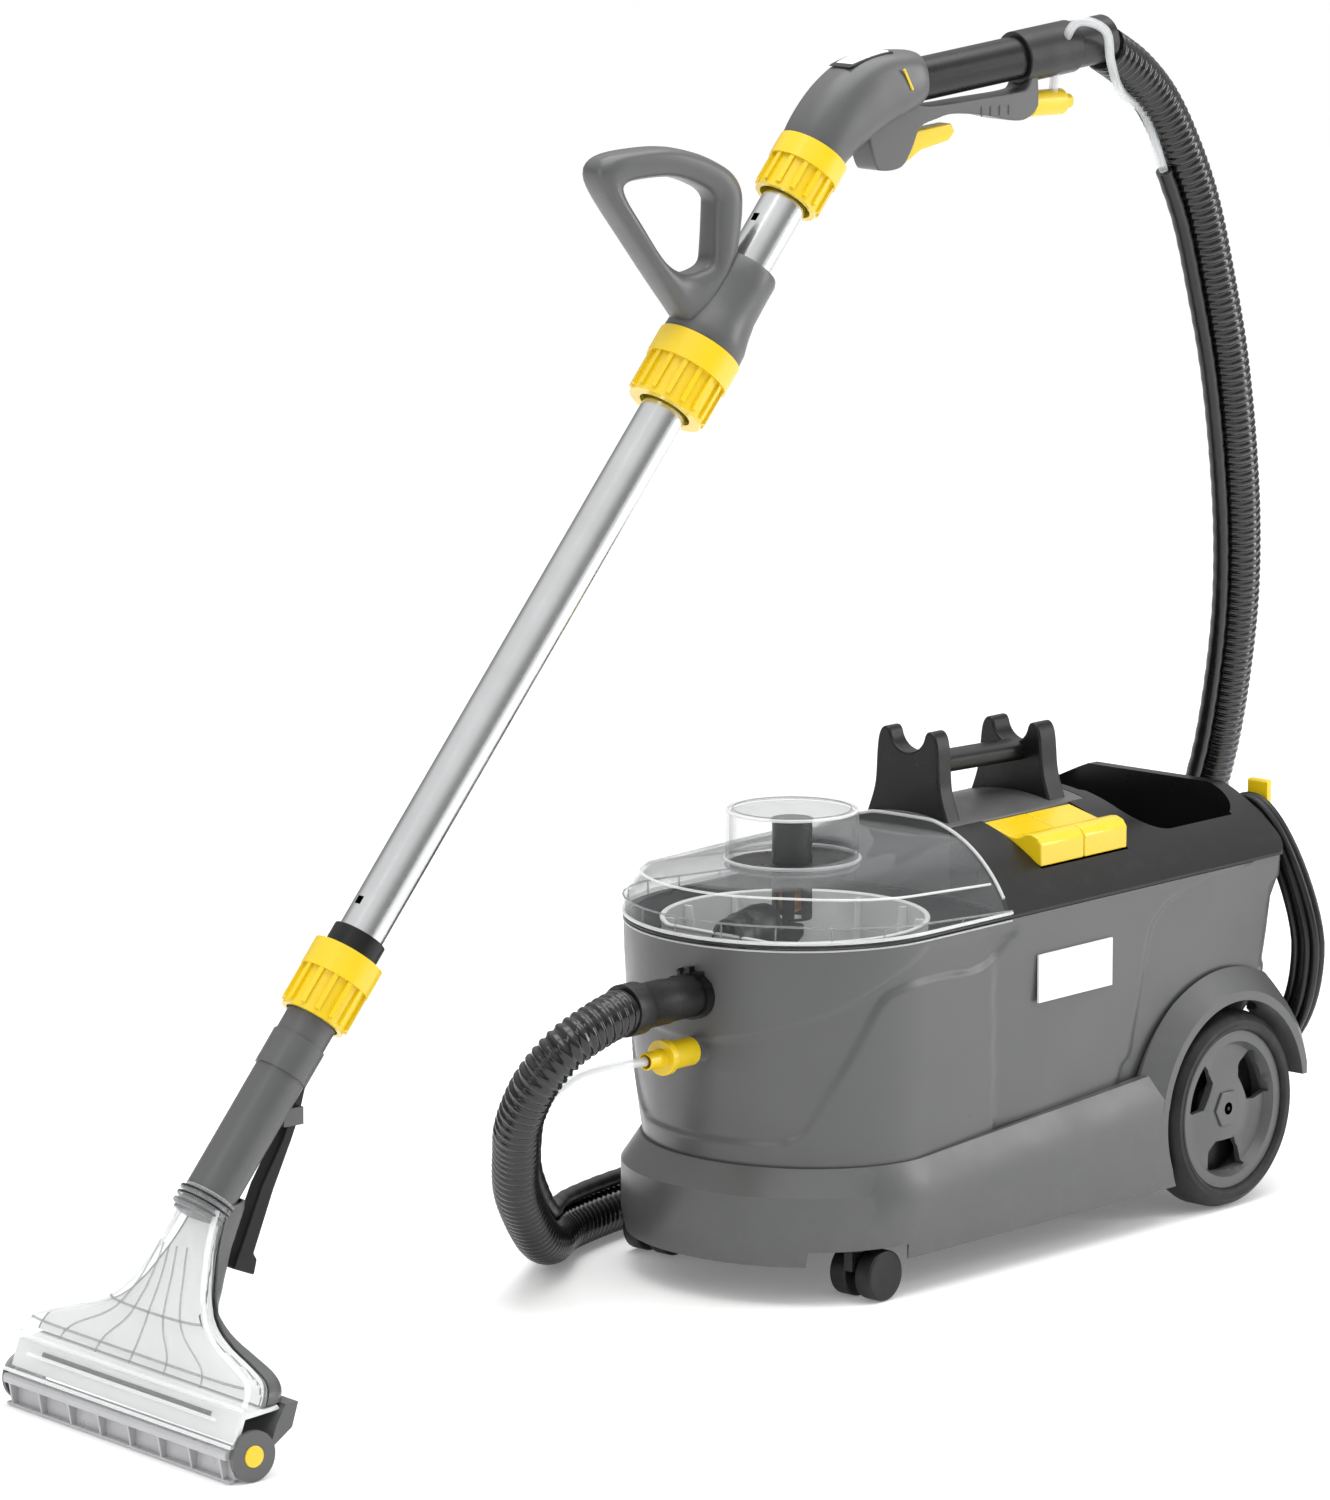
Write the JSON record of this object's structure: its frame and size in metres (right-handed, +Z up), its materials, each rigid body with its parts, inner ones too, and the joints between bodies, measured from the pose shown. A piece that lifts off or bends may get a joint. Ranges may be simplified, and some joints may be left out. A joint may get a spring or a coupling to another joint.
{
  "type": "spot extractor",
  "caption": "Wheeled spray-extraction cleaner with clear lid, removable tank, suction hose and a tubular floor wand with a clear-fronted nozzle.",
  "frame": {"origin": "on the floor, at the middle of the bounding box of the machine and its wand", "axes": "+X towards the machine's rear, -X towards its rounded nose and the wand's nozzle, +Z up, +Y to the machine's far side"},
  "size_m": [1.4263, 0.3855, 1.0519],
  "materials": {
    "body_plastic": "fine-grained moulded grey",
    "black_plastic": "satin black",
    "yellow_plastic": "glossy moulded yellow",
    "clear_plastic": "clear moulded polycarbonate",
    "white_plastic": "milky white",
    "badge": "satin plate with one painted band",
    "motor_metal": "cast and machined",
    "steel": "drawn",
    "tube_steel": "polished tube",
    "tyre": "smooth black rubber",
    "seal_rubber": "soft black",
    "float_plastic": "moulded float",
    "cord_rubber": "mains cable jacket",
    "hose_plastic": "corrugated glossy black",
    "sleeve_fabric": "smooth coated sleeve",
    "clear_hose": "clear tubing",
    "lip_plastic": "moulded grey lip"
  },
  "bodies": {
    "machine": {"tank_body": "body_plastic", "chassis": "body_plastic", "rear_cover": "black_plastic", "deck_panel": "body_plastic", "carry_handle": "black_plastic", "badge_plate": "badge", "suction_motor": "motor_metal", "spray_pump": "black_plastic", "suction_port": "black_plastic", "spray_socket": "clear_plastic", "rear_axle": "steel", "cord_gland": "seal_rubber", "mains_lead": "cord_rubber", "mains_hank": "cord_rubber", "mains_plug": "cord_rubber", "machine_cuff": "seal_rubber", "suction_hose": "hose_plastic", "hose_sleeve": "sleeve_fabric", "spray_hose_machine": "clear_hose", "spray_hose_wand": "clear_hose", "wand_cuff": "seal_rubber", "nozzle_back": "body_plastic", "nozzle_cover": "clear_plastic", "lower_collar": "black_plastic", "wand_tube": "tube_steel", "handle_body": "body_plastic", "handle_tube": "black_plastic", "spray_valve": "steel", "hose_coupling": "yellow_plastic"},
    "rear_wheel_near": {"tyre_near": "tyre", "rim_near": "body_plastic"},
    "rear_wheel_far": {"tyre_far": "tyre", "rim_far": "body_plastic"},
    "castor_near": {"castor_fork_near": "black_plastic"},
    "castor_far": {"castor_fork_far": "black_plastic"},
    "castor_rollers_near": {"castor_wheels_near": "tyre"},
    "castor_rollers_far": {"castor_wheels_far": "tyre"},
    "waste_tank": {"dirty_tank": "white_plastic", "inlet_elbow": "black_plastic", "fluff_filter": "white_plastic"},
    "lid": {"lid_shell": "clear_plastic", "lid_gasket": "seal_rubber", "lid_dome": "clear_plastic", "float_cage": "black_plastic"},
    "float": {"float_ball": "float_plastic"},
    "spray_switch": {"switch_spray": "yellow_plastic"},
    "suction_switch": {"switch_suction": "yellow_plastic"},
    "hook": {"cord_hook": "yellow_plastic"},
    "fan": {"fan_impeller": "motor_metal"},
    "coupling": {"coupling_sleeve": "yellow_plastic"},
    "lip": {"lip_holder": "lip_plastic"},
    "button_near": {"end_button_near": "yellow_plastic"},
    "button_far": {"end_button_far": "yellow_plastic"},
    "lance": {"spray_lance": "black_plastic"},
    "nut_low": {"lower_nut": "yellow_plastic"},
    "nut_high": {"upper_nut": "yellow_plastic"},
    "collet": {"grip_collet": "black_plastic"},
    "grip": {"grip_handle": "body_plastic"},
    "nut_grip": {"grip_nut": "yellow_plastic"},
    "trigger_lever": {"trigger": "yellow_plastic"}
  },
  "joints": [
    {"name": "rear_wheel_near_spin", "type": "hinge", "parent": "machine", "child": "rear_wheel_near", "pos_m": [0.5452, -0.1454, 0.0871], "axis": [0, 1, 0], "continuous": true},
    {"name": "rear_wheel_far_spin", "type": "hinge", "parent": "machine", "child": "rear_wheel_far", "pos_m": [0.5452, 0.1246, 0.0871], "axis": [0, 1, 0], "continuous": true},
    {"name": "castor_near_swivel", "type": "hinge", "parent": "machine", "child": "castor_near", "pos_m": [0.0779, -0.1264, 0.045], "axis": [0, 0, 1], "continuous": true},
    {"name": "castor_near_roll", "type": "hinge", "parent": "castor_near", "child": "castor_rollers_near", "pos_m": [0.0929, -0.1264, 0.0215], "axis": [0, 1, 0], "continuous": true},
    {"name": "castor_far_swivel", "type": "hinge", "parent": "machine", "child": "castor_far", "pos_m": [0.0779, 0.1056, 0.045], "axis": [0, 0, 1], "continuous": true},
    {"name": "castor_far_roll", "type": "hinge", "parent": "castor_far", "child": "castor_rollers_far", "pos_m": [0.0929, 0.1056, 0.0215], "axis": [0, 1, 0], "continuous": true},
    {"name": "waste_tank_lift", "type": "slide", "parent": "machine", "child": "waste_tank", "axis": [0, 0, 1], "range_m": [0, 0.25]},
    {"name": "lid_lift", "type": "slide", "parent": "waste_tank", "child": "lid", "axis": [0, 0, 1], "range_m": [0, 0.15]},
    {"name": "float_rise", "type": "slide", "parent": "lid", "child": "float", "axis": [0, 0, 1], "range_m": [0, 0.045]},
    {"name": "spray_switch_press", "type": "hinge", "parent": "machine", "child": "spray_switch", "pos_m": [0.3486, -0.0664, 0.352], "axis": [1, 0, 0], "range_deg": [0, 4]},
    {"name": "suction_switch_press", "type": "hinge", "parent": "machine", "child": "suction_switch", "pos_m": [0.4078, -0.0664, 0.352], "axis": [1, 0, 0], "range_deg": [0, 4]},
    {"name": "hook_turn", "type": "hinge", "parent": "machine", "child": "hook", "pos_m": [0.6359, -0.1004, 0.312], "axis": [1, 0, 0], "range_deg": [0, 180]},
    {"name": "fan_spin", "type": "hinge", "parent": "machine", "child": "fan", "pos_m": [0.3509, -0.0104, 0.22], "axis": [0, 0, 1], "continuous": true},
    {"name": "coupling_pull", "type": "slide", "parent": "machine", "child": "coupling", "axis": [-1, 0, 0], "range_m": [0, 0.003], "stiffness_N_per_m": 500, "springref_m": -0.002},
    {"name": "lip_tilt", "type": "hinge", "parent": "machine", "child": "lip", "pos_m": [-0.61732, 0.01182, 0.02], "axis": [0.1545, 0.988, 0], "range_deg": [-4, 4]},
    {"name": "button_near_press", "type": "slide", "parent": "machine", "child": "button_near", "axis": [0.1545, 0.988, 0], "range_m": [0, 0.002], "stiffness_N_per_m": 400, "springref_m": -0.001},
    {"name": "button_far_press", "type": "slide", "parent": "machine", "child": "button_far", "axis": [-0.1545, -0.988, 0], "range_m": [0, 0.002], "stiffness_N_per_m": 400, "springref_m": -0.001},
    {"name": "lance_swing", "type": "hinge", "parent": "machine", "child": "lance", "pos_m": [-0.46912, -0.01136, 0.236], "axis": [-0.1545, -0.988, 0], "range_deg": [0, 20]},
    {"name": "nut_low_turn", "type": "hinge", "parent": "machine", "child": "nut_low", "pos_m": [-0.42897, -0.01764, 0.33171], "axis": [0.6137, -0.096, 0.7837], "continuous": true},
    {"name": "nut_high_turn", "type": "hinge", "parent": "machine", "child": "nut_high", "pos_m": [0.04357, -0.09155, 0.93515], "axis": [0.6137, -0.096, 0.7837], "continuous": true},
    {"name": "grip_slide", "type": "slide", "parent": "machine", "child": "collet", "axis": [0.6137, -0.096, 0.7837], "range_m": [-0.35, 0.04]},
    {"name": "grip_swing", "type": "hinge", "parent": "collet", "child": "grip", "pos_m": [-0.03621, -0.07908, 0.83327], "axis": [0.6137, -0.096, 0.7837], "range_deg": [-90, 90]},
    {"name": "grip_nut_turn", "type": "hinge", "parent": "collet", "child": "nut_grip", "pos_m": [-0.07917, -0.07236, 0.77842], "axis": [0.6137, -0.096, 0.7837], "continuous": true},
    {"name": "trigger_squeeze", "type": "hinge", "parent": "machine", "child": "trigger_lever", "pos_m": [0.15529, -0.10903, 0.962], "axis": [-0.1545, -0.988, 0], "range_deg": [0, 8], "stiffness_Nm_per_rad": 0.6, "springref_deg": -5.73}
  ]
}
